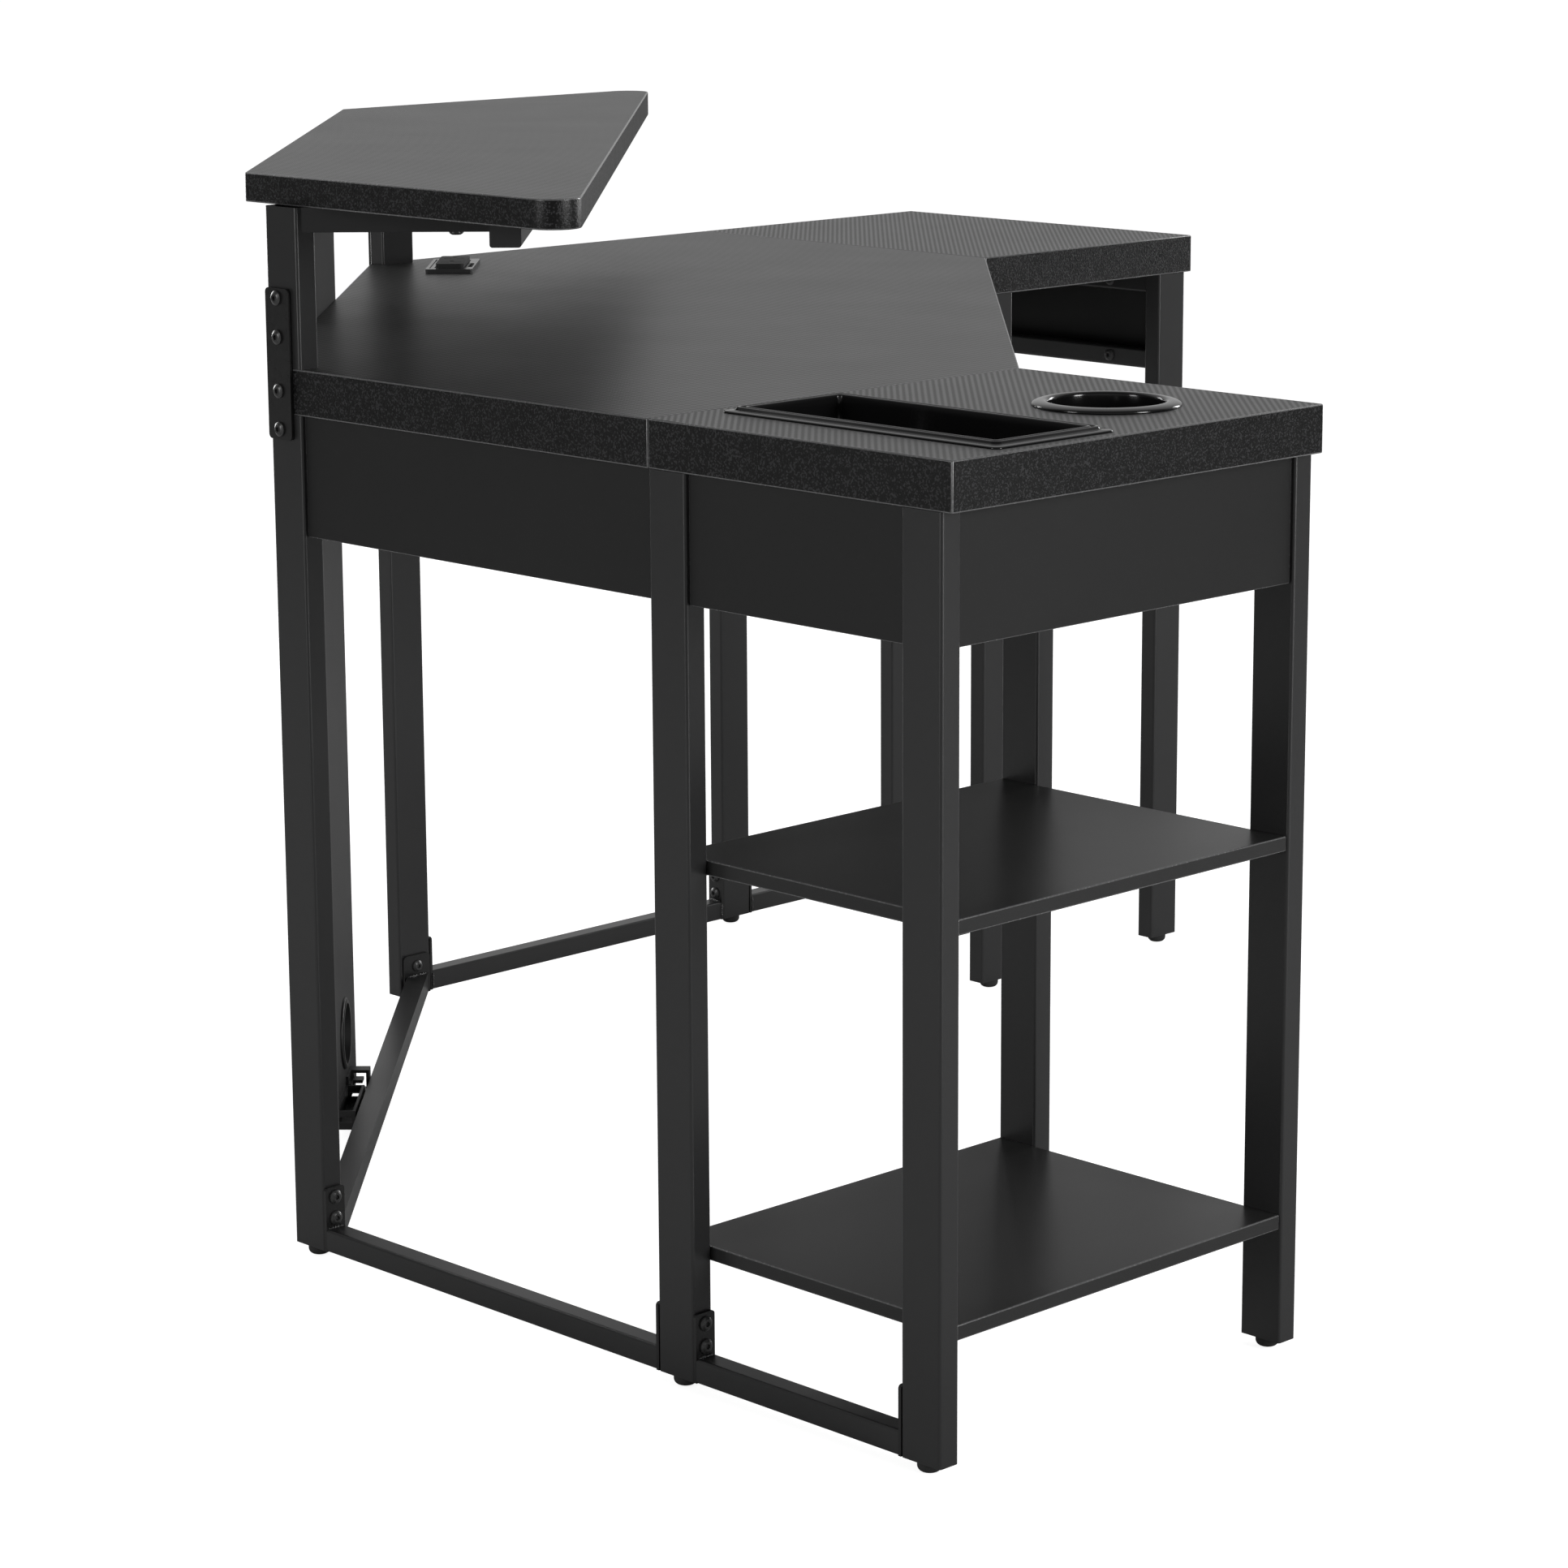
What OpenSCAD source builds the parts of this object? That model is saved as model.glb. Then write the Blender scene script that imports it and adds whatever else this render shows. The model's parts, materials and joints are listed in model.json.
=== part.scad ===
// L-shaped corner desk with a raised monitor shelf, storage shelves, a drop-in
// pen tray and cup holder, a desktop power outlet and a rear cable panel.
// Everything is drawn from the corner where the two outer edges would meet, with
// wall 1 along +X and wall 2 along +Y, and is then centred over the floor.

/* [Desk top] */
// Length of each outer edge, measured from the corner of the walls
desk_len = 1345; // [1300:5:1500]
// Height of the working surface
desk_h = 760; // [720:5:800]
// Thickness of the three desk boards
board_t = 38; // [30:1:40]
// Depth of each wing
wing_depth = 410; // [400:5:500]
// Length of each wing beyond its seam
wing_len = 315; // [310:5:340]
// Distance from the wall corner to each end of the cut corner
corner_cut = 572; // [560:1:600]

/* [Monitor shelf] */
// Clear height under the monitor shelf
riser_gap = 131; // [110:1:150]
// Thickness of the monitor shelf
riser_t = 24; // [18:1:28]
// Where the cut back corner of the shelf starts along each wall
riser_start = 534; // [520:1:550]
// Where the sharp front corner would be along each wall
riser_tip = 944; // [900:1:980]
// Distance from the shelf to the outer edges of the desk
riser_inset = 10; // [6:1:14]
// Rounding of the front corners
riser_r = 22; // [12:1:30]

/* [Frame] */
// Wide side of the leg tube
tube_w = 40; // [38:1:44]
// Narrow side of the leg tube
tube_d = 20; // [20:1:22]
// Wall of the tube
tube_wall = 1.5; // [1:0.1:2]
// Outer corner radius of the tube
tube_r = 2.4; // [2:0.1:3]
// Distance from the board ends to the end legs
end_inset = 10; // [6:1:16]
// Square section of the stretchers and rails
bar = 20; // [18:1:20]
// Width of the long bar under the monitor shelf
front_bar = 25; // [22:1:28]

/* [Aprons and shelves] */
// Height of the apron panels
apron_h = 100; // [80:5:120]
// Thickness of the apron panels
apron_t = 12; // [9:1:14]
// Distance of the aprons behind the leg faces
apron_inset = 4; // [3:0.5:4.5]
// Top of the lower storage shelf
lower_shelf_z = 115; // [100:5:150]
// Top of the middle storage shelf
middle_shelf_z = 423; // [380:1:460]
// Thickness of the storage shelves
shelf_t = 12; // [10:1:15]

/* [Levelling feet] */
// Height of the foot under the leg when it is screwed fully in
foot_h = 8; // [6:1:12]
// Radius of the foot
foot_r = 9.5; // [8:0.1:9.9]
// Radius of the foot's stud
stud_r = 3; // [2.5:0.1:3.2]
// How far the foot can be screwed out
foot_travel = 12; // [8:1:14]

/* [Drop-in tray and cup holder] */
// Length of the pen tray's flange, across the wing
tray_len = 286; // [270:1:290]
// Width of the pen tray's flange
tray_width = 128; // [110:1:140]
// Distance from the outer edge of the desk to the tray
tray_y = 60; // [50:1:70]
// Depth of the tray below its rim
tray_depth = 36; // [20:1:36]
// Inside radius of the cup holder
cup_r = 45; // [40:0.5:48]
// Radius of the cup holder's flange
cup_flange_r = 57.5; // [54:0.5:60]
// Depth of the cup holder
cup_depth = 70; // [50:1:80]
// Distance of the cup's centre from the end and the inner edge
cup_inset = 117; // [100:1:130]

/* [Power outlet] */
// Centre of the outlet along wall 1, and along wall 2
outlet_at = [92, 602];
// Length of the bezel
outlet_len = 100; // [90:1:104]
// Width of the bezel
outlet_w = 46; // [42:1:48]
// Thickness of the bezel
bezel_t = 4; // [3:0.5:5]

/* [Cable panel] */
// Width of the panel behind the cut corner
panel_w = 180; // [140:5:220]
// Thickness of the panel
panel_t = 12; // [9:1:14]
// Height of the panel's lower edge
panel_z = 11; // [10:1:40]
// Inside radius of the cable grommet
grommet_r = 28.5; // [24:0.5:30]
// Height of the grommet's centre
grommet_z = 79; // [75:1:110]
// Depth of the cord cradle in front of the panel
cradle_d = 18; // [14:0.5:20]

/* [Hidden] */
$fn = 64;
eps = 0.05;
seam = desk_len - wing_len;
board_z = desk_h - board_t;
riser_z = desk_h + riser_gap;
seam_gap = 0.4;
apron_z = board_z - apron_h;
leg_bottom = foot_h;
end_leg = desk_len - end_inset - tube_w;
inner_leg = wing_depth - tube_d;
leg_top = board_z;
inner_r = tube_r - tube_wall;

plate_t = 3;
splice_w = 30;
splice_low = desk_h - 59;
splice_high = desk_h + 65;
splice_z = [desk_h - 50.5, desk_h - 19, desk_h + 25, desk_h + 57];
splice_x = corner_cut + 1 + splice_w / 2;

bolt_r = 3;
bolt_hole_r = 3.15;
bolt_head_r = 6;
bolt_head_h = 3;
bolt_hex = 4;
bolt_dome_z = 8.2;
proud = plate_t + bolt_head_h;
centre = (desk_len - proud) / 2;

end_plate_h = 56;
end_plate_z = [leg_bottom + 28.5, leg_bottom + 47];
tie_plate_h = 42;
tie_plate_w = 34;
tie_bolt_z = leg_bottom + 30;

arm_line = corner_cut + tube_w - tube_d;
front_bar_line = 865;
front_bar_end = 37;

tab_t = 3;
tab_w = 20;
screw_r = 2;
screw_head_r = 4;

tray_wall = 2.5;
tray_rim = 15;
tray_bead = 8;
tray_bead_h = 4.5;
tray_flange_t = 1.6;
tray_x = (seam + desk_len) / 2 + 1;
cup_wall = 2;
cup_centre = [desk_len - cup_inset, wing_depth - cup_inset];

insert_w = 30;
insert_len = 78;
insert_h = 4;
housing_w = 38;
housing_len = 92;
housing_depth = 46;
usb_len = 30;
usb_w = 4;
usb_at = [12, outlet_w / 2 - usb_w];

cradle_h = 18;
cradle_w = 86;
loop_u = -38;
loop_z = panel_z + 2;
loop_w = 14;
loop_d = 19.5;
loop_h = 23;

// ---- places -------------------------------------------------------------

module placed() { translate([-centre, -centre, 0]) children(); }
module far() { mirror([1, -1, 0]) children(); }
module at_cut_corner() { translate([corner_cut / 2, corner_cut / 2, 0]) rotate([0, 0, -45]) children(); }
module at_outlet() { translate([outlet_at[0], outlet_at[1], desk_h]) rotate([0, 0, -45]) children(); }

// Near-side leg centres: cut corner, seam, end, end on the room side, seam on the room side
leg_at = [
    [corner_cut + tube_w / 2, tube_d / 2],
    [seam + tube_w / 2, tube_d / 2],
    [end_leg + tube_w / 2, tube_d / 2],
    [end_leg + tube_w / 2, inner_leg + tube_d / 2],
    [seam + tube_w / 2, inner_leg + tube_d / 2]];

// ---- shared shapes ------------------------------------------------------

module round_rect(size, r) {
    translate([r, 0]) square([size[0] - 2 * r, size[1]]);
    translate([0, r]) square([size[0], size[1] - 2 * r]);
    for (x = [r, size[0] - r], y = [r, size[1] - r]) translate([x, y]) circle(r);
}

module centred_rect(size, r) { translate(-size / 2) round_rect(size, r); }

module tube(size, length) {
    linear_extrude(length) difference() {
        round_rect(size, tube_r);
        translate([tube_wall, tube_wall]) round_rect(size - [2, 2] * tube_wall, inner_r);
    }
}

// A tube lying along +X, its section starting at y = 0 and z = 0
module lying_bar(length, size = [bar, bar]) {
    rotate([90, 0, 90]) tube(size, length);
}

module button_bolt(length) {
    difference() {
        union() {
            intersection() {
                cylinder(r = bolt_head_r, h = bolt_head_h);
                translate([0, 0, bolt_head_h - bolt_dome_z]) sphere(r = 9);
            }
            translate([0, 0, -length]) cylinder(r = bolt_r, h = length + eps);
        }
        translate([0, 0, 1.2]) cylinder(d = bolt_hex / cos(30), h = bolt_head_h, $fn = 6);
    }
}

// Each bolt: head position, direction that the head faces, length of its shank
function splice_bolts() = [for (z = splice_z) [[splice_x, -plate_t, z], [0, -1, 0], 15]];
function end_plate_bolts(x, side) = [
    for (z = end_plate_z) [[x + side * plate_t, tube_d / 2, z], [side, 0, 0], 12]];
function tie_bolts() = [[[corner_cut + tube_w / 2, tube_d + plate_t, tie_bolt_z], [0, 1, 0], 11]];
function rail_bolts() = [
    for (y = [tube_d + 52, inner_leg - 52], z = [apron_z + bar / 2, board_z - bar / 2])
        [[end_apron_x() - bar, y, z], [-1, 0, 0], bar + 8]];
function tab_bolts(x) = [
    for (z = [apron_z + 25, board_z - 25]) [[x, apron_back() + tab_t, z], [0, 1, 0], tab_t + 8]];
function arm_bolt() = [[[arm_line + 101, 101, riser_z - bar], [0, 0, -1], bar + 12]];
function apron_back() = apron_inset + apron_t;
function end_apron_x() = desk_len - end_inset - apron_inset - apron_t;
function near_tab_x() = [corner_cut + tube_w + tab_w / 2, seam - tab_w / 2,
    seam + tube_w + tab_w / 2, end_leg - tab_w / 2];
function near_bolts() = concat(
    splice_bolts(),
    end_plate_bolts(corner_cut + tube_w, 1), end_plate_bolts(seam, -1),
    end_plate_bolts(seam + tube_w, 1), end_plate_bolts(end_leg, -1),
    tie_bolts(), rail_bolts(), arm_bolt(),
    [for (x = near_tab_x()) for (b = tab_bolts(x)) b]);

module facing(direction) {
    if (direction[2] < 0) rotate([180, 0, 0]) children();
    else rotate([0, 0, atan2(direction[1], direction[0])]) rotate([0, 90, 0]) children();
}

module bolt_holes(bolts, r = bolt_hole_r) {
    for (b = bolts) translate(b[0]) facing(b[1])
        translate([0, 0, -b[2] - 0.5]) cylinder(r = r, h = b[2] + 1);
}

// ---- boards ---------------------------------------------------------------

function corner_outline() = [
    [corner_cut, 0], [seam - seam_gap, 0], [seam - seam_gap, wing_depth],
    [wing_depth, seam - seam_gap], [0, seam - seam_gap], [0, corner_cut]];

module corner_board() {
    color("#2b2b2d") placed() difference() {
        translate([0, 0, board_z]) linear_extrude(board_t) polygon(corner_outline());
        bolt_holes(splice_bolts());
        far() bolt_holes(splice_bolts());
        at_outlet() translate([0, 0, -board_t - 1]) linear_extrude(board_t + 2)
            centred_rect([housing_len + 1, housing_w + 1], 3);
        at_cut_corner() panel_screw_marks() cylinder(r = screw_r + 0.2, h = panel_t + 21);
    }
}

module wing_board() {
    translate([seam, 0, board_z]) cube([wing_len, wing_depth, board_t]);
}

module near_wing_board() {
    color("#2b2b2d") placed() difference() {
        wing_board();
        translate([tray_x, tray_y + tray_width / 2, board_z - 1]) linear_extrude(board_t + 2)
            centred_rect(tray_opening() + [8, 8], 6);
        translate([cup_centre[0], cup_centre[1], board_z - 1])
            cylinder(r = cup_r + cup_wall + 1, h = board_t + 2);
    }
}

module far_wing_board() { color("#2b2b2d") placed() far() wing_board(); }

// Monitor shelf: a trapezium whose two sharp front corners are rounded off
module riser_outline() {
    reach = riser_r / tan(22.5);
    inset = riser_inset;
    near_mid = [riser_tip - reach, inset + riser_r];
    far_mid = [inset + riser_r, riser_tip - reach];
    turn = riser_r * sqrt(0.5);
    polygon([
        [riser_start, inset], [near_mid[0], inset], near_mid + [turn, turn],
        far_mid + [turn, turn], [inset, far_mid[1]], [inset, riser_start]]);
    translate(near_mid) circle(riser_r);
    translate(far_mid) circle(riser_r);
}

module monitor_shelf() {
    color("#2b2b2d") placed() difference() {
        translate([0, 0, riser_z]) linear_extrude(riser_t) riser_outline();
        bolt_holes(arm_bolt());
        far() bolt_holes(arm_bolt());
    }
}

// ---- legs and posts -------------------------------------------------------

module leg(i) {
    translate([leg_at[i][0] - tube_w / 2, leg_at[i][1] - tube_d / 2, leg_bottom])
        tube([tube_w, tube_d], leg_top - leg_bottom);
}

module corner_leg() {
    difference() {
        leg(0);
        bolt_holes(splice_bolts());
        bolt_holes(end_plate_bolts(corner_cut + tube_w, 1));
        bolt_holes(tie_bolts());
    }
}

module seam_leg() {
    difference() {
        leg(1);
        bolt_holes(end_plate_bolts(seam, -1));
        bolt_holes(end_plate_bolts(seam + tube_w, 1));
    }
}

module end_leg_shape() {
    difference() {
        leg(2);
        bolt_holes(end_plate_bolts(end_leg, -1));
    }
}

module near_corner_leg() { color("#1c1c1e") placed() corner_leg(); }
module near_seam_leg() { color("#1c1c1e") placed() seam_leg(); }
module near_end_leg() { color("#1c1c1e") placed() end_leg_shape(); }
module near_end_inner_leg() { color("#1c1c1e") placed() leg(3); }
module near_seam_inner_leg() { color("#1c1c1e") placed() leg(4); }
module far_corner_leg() { color("#1c1c1e") placed() far() corner_leg(); }
module far_seam_leg() { color("#1c1c1e") placed() far() seam_leg(); }
module far_end_leg() { color("#1c1c1e") placed() far() end_leg_shape(); }
module far_end_inner_leg() { color("#1c1c1e") placed() far() leg(3); }
module far_seam_inner_leg() { color("#1c1c1e") placed() far() leg(4); }

// Tabs beside the legs: the side aprons are bolted to them
module apron_tabs() {
    for (x = near_tab_x()) difference() {
        translate([x - tab_w / 2, apron_back(), apron_z + 10]) cube([tab_w, tab_t, apron_h - 20]);
        bolt_holes(tab_bolts(x));
    }
}

// Tabs inside the near wing's legs: the storage shelves stand on them
module shelf_tabs() {
    for (z = [lower_shelf_z, middle_shelf_z]) screw_marks(z) difference() {
        translate([-tab_w / 2, -tab_w / 2, -tab_t]) cube([tab_w, tab_w, tab_t]);
        translate([0, 0, -tab_t - 1]) cylinder(r = screw_r + 0.2, h = tab_t + 2);
    }
}

module leg_brackets() {
    color("#1c1c1e") placed() {
        for (side = [0, 1]) mirror([side, -side, 0]) apron_tabs();
        shelf_tabs();
    }
}

module shelf_post() {
    difference() {
        translate([corner_cut, 0, desk_h]) tube([tube_w, tube_d], riser_gap);
        bolt_holes(splice_bolts());
    }
}

module near_shelf_post() { color("#1c1c1e") placed() shelf_post(); }
module far_shelf_post() { color("#1c1c1e") placed() far() shelf_post(); }

module splice_plate() {
    difference() {
        translate([corner_cut + 1, 0, splice_low]) rotate([90, 0, 0])
            linear_extrude(plate_t) round_rect([splice_w, splice_high - splice_low], 4);
        bolt_holes(splice_bolts());
    }
}

module splice_plates() {
    color("#26262a") placed() for (side = [0, 1]) mirror([side, -side, 0]) splice_plate();
}

// ---- monitor shelf supports -------------------------------------------------

function arm_end() = front_bar_line - front_bar * sqrt(0.5);

// Plan outline of an arm, notched round the corner of its post; past lengthens both ends
function arm_plan(width, past) = let (
    low = arm_line - width * sqrt(0.5), high = arm_line + width * sqrt(0.5),
    corner = corner_cut + tube_w, end = arm_end() + past) [
    [low + tube_d - past, tube_d - past], [corner - past, tube_d - past],
    [corner - past, corner - past - high],
    [(end + high) / 2, (end - high) / 2], [(end + low) / 2, (end - low) / 2]];

module shelf_arm() {
    difference() {
        translate([0, 0, riser_z - bar]) linear_extrude(bar) polygon(arm_plan(bar, 0));
        translate([0, 0, riser_z - bar + tube_wall]) linear_extrude(bar - 2 * tube_wall)
            polygon(arm_plan(bar - 2 * tube_wall, 1));
        bolt_holes(arm_bolt());
    }
}

module near_shelf_arm() { color("#1c1c1e") placed() shelf_arm(); }
module far_shelf_arm() { color("#1c1c1e") placed() far() shelf_arm(); }

// Its open ends are closed by welded plates
module shelf_front_bar() {
    length = (front_bar_line - 2 * front_bar_end) * sqrt(2);
    color("#1c1c1e") placed()
        translate([front_bar_line / 2, front_bar_line / 2, riser_z - bar]) rotate([0, 0, -45])
            translate([-length / 2, -front_bar / 2, 0]) {
                lying_bar(length, [front_bar, bar]);
                for (x = [0, length - tube_wall]) translate([x, tube_wall / 2, tube_wall / 2])
                    cube([tube_wall, front_bar - tube_wall, bar - tube_wall]);
            }
}

// ---- aprons and rails -------------------------------------------------------

module side_apron(x0, x1, tabs) {
    difference() {
        translate([x0, apron_inset, apron_z]) cube([x1 - x0, apron_t, apron_h]);
        for (i = tabs) bolt_holes(tab_bolts(near_tab_x()[i]));
    }
}

module end_apron() {
    difference() {
        translate([end_apron_x(), tube_d, apron_z]) cube([apron_t, inner_leg - tube_d, apron_h]);
        bolt_holes(rail_bolts());
    }
}

module near_corner_apron() { color("#222224") placed() side_apron(corner_cut + tube_w, seam, [0, 1]); }
module near_side_apron() { color("#222224") placed() side_apron(seam + tube_w, end_leg, [2, 3]); }
module near_end_apron() { color("#222224") placed() end_apron(); }
module far_corner_apron() { color("#222224") placed() far() side_apron(corner_cut + tube_w, seam, [0, 1]); }
module far_side_apron() { color("#222224") placed() far() side_apron(seam + tube_w, end_leg, [2, 3]); }
module far_end_apron() { color("#222224") placed() far() end_apron(); }

// Upper and lower rail between the outer and the inner leg, starting at x
module rail_pair(x) {
    for (z = [apron_z, board_z - bar])
        translate([x + bar, tube_d, z]) rotate([0, 0, 90]) lying_bar(inner_leg - tube_d);
}

module end_rails() {
    color("#1c1c1e") placed() for (side = [0, 1]) mirror([side, -side, 0]) difference() {
        rail_pair(end_apron_x() - bar);
        bolt_holes(rail_bolts());
    }
}

module seam_rails() {
    color("#1c1c1e") placed() for (side = [0, 1]) mirror([side, -side, 0])
        rail_pair(seam + (tube_w - bar) / 2);
}

// ---- storage shelves --------------------------------------------------------

module storage_shelf(z) {
    width = desk_len - end_inset - 2 - seam - 2;
    depth = inner_leg - tube_d;
    difference() {
        translate([seam + 2, tube_d, z - shelf_t]) cube([width, depth, shelf_t]);
        screw_marks(z) cylinder(r = screw_r + 0.2, h = shelf_t - 3);
    }
}

// The four screw places under a shelf whose top is at z
module screw_marks(z) {
    for (i = [1:4]) translate([leg_at[i][0], i < 3 ? tube_d + tab_w / 2 : inner_leg - tab_w / 2, z - shelf_t])
        children();
}

module middle_storage_shelf() { color("#222224") placed() storage_shelf(middle_shelf_z); }
module lower_storage_shelf() { color("#222224") placed() storage_shelf(lower_shelf_z); }

// A pan head screw pointing up, its head below z = 0
module wood_screw(length) {
    cylinder(r = screw_r, h = length);
    translate([0, 0, -2]) cylinder(r1 = screw_head_r - 1, r2 = screw_head_r, h = 2);
}

module wood_screws() {
    color("#55555a") placed() {
        for (z = [lower_shelf_z, middle_shelf_z]) screw_marks(z) translate([0, 0, -tab_t]) wood_screw(tab_t + 7);
        at_cut_corner() panel_screw_marks() wood_screw(panel_t + 20);
    }
}

// ---- stretchers -------------------------------------------------------------

module stretcher(x0, x1) {
    translate([x0 + plate_t, 0, leg_bottom]) lying_bar(x1 - x0 - 2 * plate_t);
}

module end_plate(x, side) {
    difference() {
        translate([side > 0 ? x : x - plate_t, 0, leg_bottom]) rotate([90, 0, 90]) linear_extrude(plate_t) {
            round_rect([tube_d, end_plate_h], 3);
            square([tube_d, bar]);
        }
        bolt_holes(end_plate_bolts(x, side));
    }
}

module near_corner_stretcher() { color("#1c1c1e") placed() stretcher(corner_cut + tube_w, seam); }
module near_side_stretcher() { color("#1c1c1e") placed() stretcher(seam + tube_w, end_leg); }
module far_corner_stretcher() { color("#1c1c1e") placed() far() stretcher(corner_cut + tube_w, seam); }
module far_side_stretcher() { color("#1c1c1e") placed() far() stretcher(seam + tube_w, end_leg); }

// Plan outline of the tie between the two corner legs, mitred against its plates
function tie_plan(width, back) = let (
    face = tube_d + plate_t - back,
    line = corner_cut + tube_w / 2 + tube_d + plate_t) [
    [line - width * sqrt(0.5) - face, face], [line + width * sqrt(0.5) - face, face],
    [face, line + width * sqrt(0.5) - face], [face, line - width * sqrt(0.5) - face]];

module tie_plate() {
    difference() {
        translate([corner_cut + (tube_w - tie_plate_w) / 2, tube_d + plate_t, leg_bottom]) rotate([90, 0, 0])
            linear_extrude(plate_t) {
                round_rect([tie_plate_w, tie_plate_h], 4);
                square([tie_plate_w, bar]);
            }
        bolt_holes(tie_bolts());
    }
}

module corner_tie_stretcher() {
    color("#1c1c1e") placed() difference() {
        translate([0, 0, leg_bottom]) linear_extrude(bar) polygon(tie_plan(bar, 0));
        translate([0, 0, leg_bottom + tube_wall]) linear_extrude(bar - 2 * tube_wall)
            polygon(tie_plan(bar - 2 * tube_wall, 1));
    }
}

module stretcher_plates() {
    color("#26262a") placed() for (side = [0, 1]) mirror([side, -side, 0]) {
        end_plate(corner_cut + tube_w, 1);
        end_plate(seam, -1);
        end_plate(seam + tube_w, 1);
        end_plate(end_leg, -1);
        tie_plate();
    }
}

module frame_bolts() {
    color("#303034") placed() for (side = [0, 1]) mirror([side, -side, 0])
        for (b = near_bolts()) translate(b[0]) facing(b[1]) button_bolt(b[2]);
}

// ---- feet -------------------------------------------------------------------

module leg_plug(i) {
    size = [tube_w, tube_d] - [2, 2] * tube_wall;
    translate([leg_at[i][0], leg_at[i][1], leg_bottom]) difference() {
        linear_extrude(18) centred_rect(size, inner_r + 0.3);
        translate([0, 0, -1]) cylinder(r = stud_r + 0.05, h = 20);
    }
}

module leg_end_plugs() {
    color("#141416") placed() for (side = [0, 1]) mirror([side, -side, 0])
        for (i = [0:4]) leg_plug(i);
}

module foot(i) {
    dome = 5;
    translate([leg_at[i][0], leg_at[i][1], 0]) {
        rotate_extrude() {
            square([foot_r - dome, foot_h]);
            translate([0, dome]) square([foot_r, foot_h - dome]);
            intersection() {
                translate([foot_r - dome, dome]) circle(dome);
                square([foot_r, dome]);
            }
        }
        translate([0, 0, foot_h - 1]) cylinder(r = stud_r, h = 23);
    }
}

module near_foot(i) { color("#101012") placed() foot(i); }
module far_foot(i) { color("#101012") placed() far() foot(i); }

// ---- cable panel ------------------------------------------------------------

module cable_panel() {
    color("#1c1c1e") placed() at_cut_corner() difference() {
        translate([-panel_w / 2, -panel_t, panel_z]) cube([panel_w, panel_t, riser_z - panel_z]);
        translate([0, 1, grommet_z]) rotate([90, 0, 0]) cylinder(r = grommet_r + 2.6, h = panel_t + 2);
        panel_screw_marks() translate([0, 0, -1]) cylinder(r = screw_r + 0.2, h = panel_t + 2);
    }
}

// The two screws through the panel into the board's cut edge
module panel_screw_marks() {
    for (u = [-60, 60]) translate([u, -panel_t, desk_h - board_t / 2]) rotate([-90, 0, 0]) children();
}

module cable_grommet() {
    color("#101012") placed() at_cut_corner() translate([0, 0, grommet_z]) rotate([-90, 0, 0])
        rotate_extrude() {
            translate([grommet_r, -panel_t]) square([2.4, panel_t + 3]);
            translate([grommet_r, 0]) square([3, 3]);
            translate([grommet_r + 3, 0]) intersection() {
                circle(2.5);
                square(3);
            }
        }
}

// Narrow channel between the panel and the tie stretcher, with slots in its ends
module cord_cradle() {
    wall = 2.5;
    inner = cradle_d - 2 * wall;
    color("#101012") placed() at_cut_corner() translate([panel_w / 2 - cradle_w - 2, 0, panel_z]) difference() {
        cube([cradle_w, cradle_d, cradle_h]);
        translate([wall, wall, wall]) cube([cradle_w - 2 * wall, inner, cradle_h]);
        for (u = [-1, cradle_w - wall - 1]) translate([u, wall + 1, 7]) cube([wall + 2, inner - 2, 5]);
        for (u = [14:22:cradle_w - 20]) translate([u, cradle_d - wall - 1, 7]) cube([14, wall + 2, 5]);
    }
}

// Closed loop with a tongue inside, beside a ribbed pad, that keeps cords in order
module cord_loop() {
    t = 3;
    color("#101012") placed() at_cut_corner() translate([loop_u, 0, loop_z]) {
        cube([loop_w, t + 2, loop_h]);
        translate([0, t, (loop_h - t) / 2]) cube([loop_w, 10, t]);
        for (z = [0, loop_h - t]) translate([0, t, z]) cube([loop_w, loop_d - t, t]);
        translate([0, loop_d - t, 0]) cube([loop_w, t, loop_h]);
        translate([loop_w - 1, 0, 0]) cube([24, 2.5, loop_h]);
        for (z = [4, 13]) translate([loop_w - 1, 0, z]) cube([24, 5, 3]);
    }
}

// ---- power outlet -----------------------------------------------------------

module outlet_bezel() {
    color("#18181a") placed() at_outlet() difference() {
        linear_extrude(bezel_t) centred_rect([outlet_len, outlet_w], 2.5);
        translate([0, 0, -1]) linear_extrude(bezel_t + 2)
            centred_rect([insert_len + 0.4, insert_w + 0.4], 2);
        translate([usb_at[0], usb_at[1], -1]) linear_extrude(bezel_t + 2)
            centred_rect([usb_len + 0.4, usb_w + 0.4], 1);
        translate([-outlet_len / 2 + 8, 3.1 - outlet_w / 2, bezel_t - 1.2]) cube([outlet_len - 16, 1.4, 2]);
    }
}

module earthed_slots() {
    for (side = [-1, 1]) translate([-1.1, side * 6.3 - 4, 0]) cube([2.2, 8, 20]);
    translate([-9, 0, 0]) cylinder(r = 2.6, h = 20);
}

module outlet_sockets() {
    color("#0e0e10") placed() at_outlet() difference() {
        union() {
            translate([0, 0, -12]) linear_extrude(12 + bezel_t) centred_rect([insert_len, insert_w], 2);
            translate([0, 0, bezel_t - 1]) linear_extrude(insert_h + 1) centred_rect([insert_len - 2, insert_w - 2], 4);
        }
        for (side = [-1, 1]) translate([side * 19 + 3, 0, bezel_t + insert_h - 14]) earthed_slots();
    }
}

module outlet_usb() {
    port = 12.4;
    color("#0e0e10") placed() at_outlet() translate([usb_at[0], usb_at[1], 0]) difference() {
        linear_extrude(bezel_t + 0.4) centred_rect([usb_len, usb_w], 1);
        for (side = [-1, 1]) translate([(side * usb_len - side) / 4 - port / 2, -1, 1]) cube([port, 2, bezel_t]);
    }
}

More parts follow.
